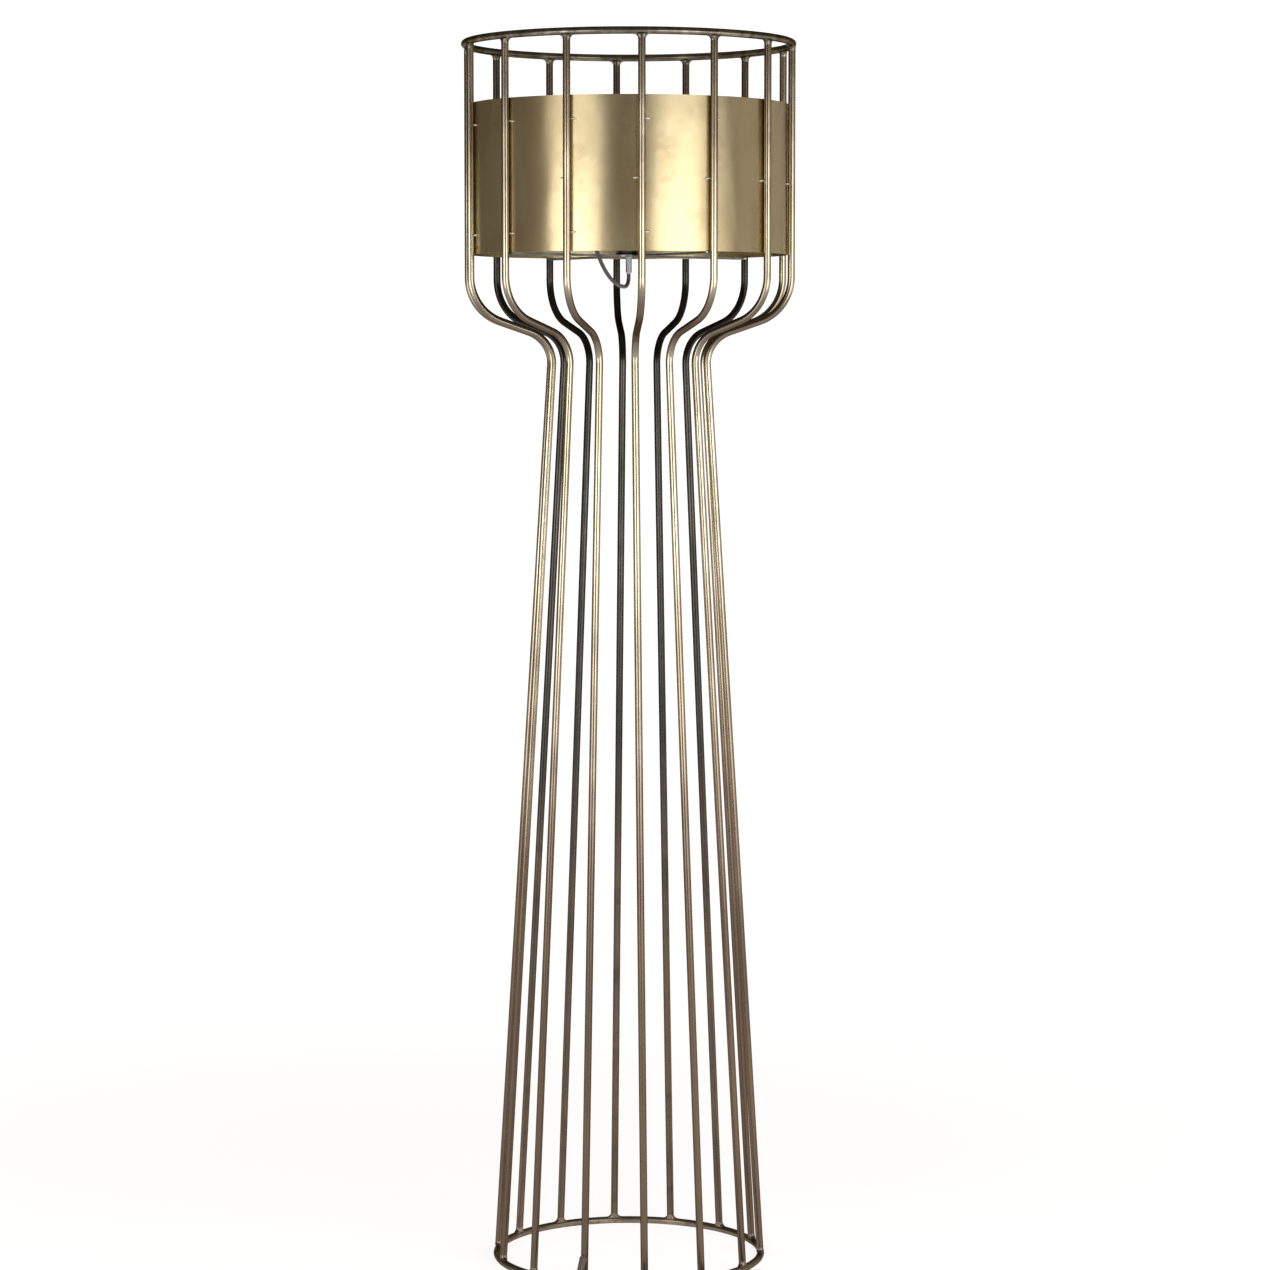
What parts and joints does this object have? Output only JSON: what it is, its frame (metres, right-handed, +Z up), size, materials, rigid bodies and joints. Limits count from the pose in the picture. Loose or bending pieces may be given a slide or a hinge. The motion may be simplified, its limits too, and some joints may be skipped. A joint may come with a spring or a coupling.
{
  "type": "floor lamp",
  "caption": "Tall floor lamp: a cage of bent rods between two rings, drawn in at a waist, with a sheet-metal drum shade inside the flared top, foot switch and coiled flex.",
  "frame": {"origin": "on the floor at the middle of the foot ring", "axes": "+Z up; the side that faces the viewer is -Y; +X is the viewer's right"},
  "size_m": [0.4349, 0.4875, 1.6],
  "materials": {
    "rod": "antique brass, worn lighter on the raised sides",
    "top_ring": "dark antique brass with worn light spots",
    "foot_ring": "dull antique brass",
    "shade": "mottled antique brass, satin polish",
    "tack": "darkened solder",
    "cross": "grey steel strip",
    "cross_tack": "bright solder",
    "stem": "light grey, satin",
    "bush": "off-white",
    "holder": "black phenolic",
    "core": "glazed porcelain, white",
    "contact": "bright brass sheet",
    "screw": "zinc-plated",
    "lead": "core insulation",
    "bulb_cap": "bright threaded cap",
    "bulb_glass": "clear glass",
    "flex": "dark grey-brown sheath",
    "rubber": "black",
    "tie": "black strap",
    "switch": "black",
    "button": "black, satin",
    "latch": "off-white moulded block",
    "spring": "bright spring wire",
    "plug": "moulded, black",
    "pin": "nickel-plated brass"
  },
  "bodies": {
    "lamp": {"cage_bar_01": "rod", "cage_bar_02": "rod", "cage_bar_03": "rod", "cage_bar_04": "rod", "cage_bar_05": "rod", "cage_bar_06": "rod", "cage_bar_07": "rod", "cage_bar_08": "rod", "cage_bar_09": "rod", "cage_bar_10": "rod", "cage_bar_11": "rod", "cage_bar_12": "rod", "cage_bar_13": "rod", "cord_bar": "rod", "top_ring": "top_ring", "foot_ring": "foot_ring", "shade": "shade", "shade_tacks_upper": "tack", "shade_tacks_middle": "tack", "shade_tacks_lower": "tack", "shade_cross": "cross", "cross_tacks": "cross_tack", "stem": "stem", "stem_bush": "bush", "lampholder_cap": "holder", "lampholder_core": "core", "lampholder_skirt": "holder", "lampholder_screw_shell": "contact", "lampholder_contact": "contact", "lampholder_terminal_screws": "screw", "lampholder_leads": "lead", "bulb_cap": "bulb_cap", "bulb_glass": "bulb_glass", "cord_loop": "flex", "cord_in_bar": "flex", "shade_grommet": "rubber", "cord_boot": "rubber", "stem_flex": "flex", "cord_lead": "flex", "cord_link": "flex", "cord_coil": "flex", "coil_tie": "tie", "cord_tail": "flex", "switch_base": "switch", "switch_cover": "switch", "switch_latch": "latch", "switch_screws": "screw", "switch_spring": "spring", "plug_body": "plug", "plug_pins": "pin"},
    "button": {"switch_button": "button"}
  },
  "joints": [
    {"name": "button_press", "type": "slide", "parent": "lamp", "child": "button", "axis": [0, 0, -1], "range_m": [0, 0.003], "stiffness_N_per_m": 1500, "springref_m": -0.001, "deforming": ["switch_spring"]}
  ]
}
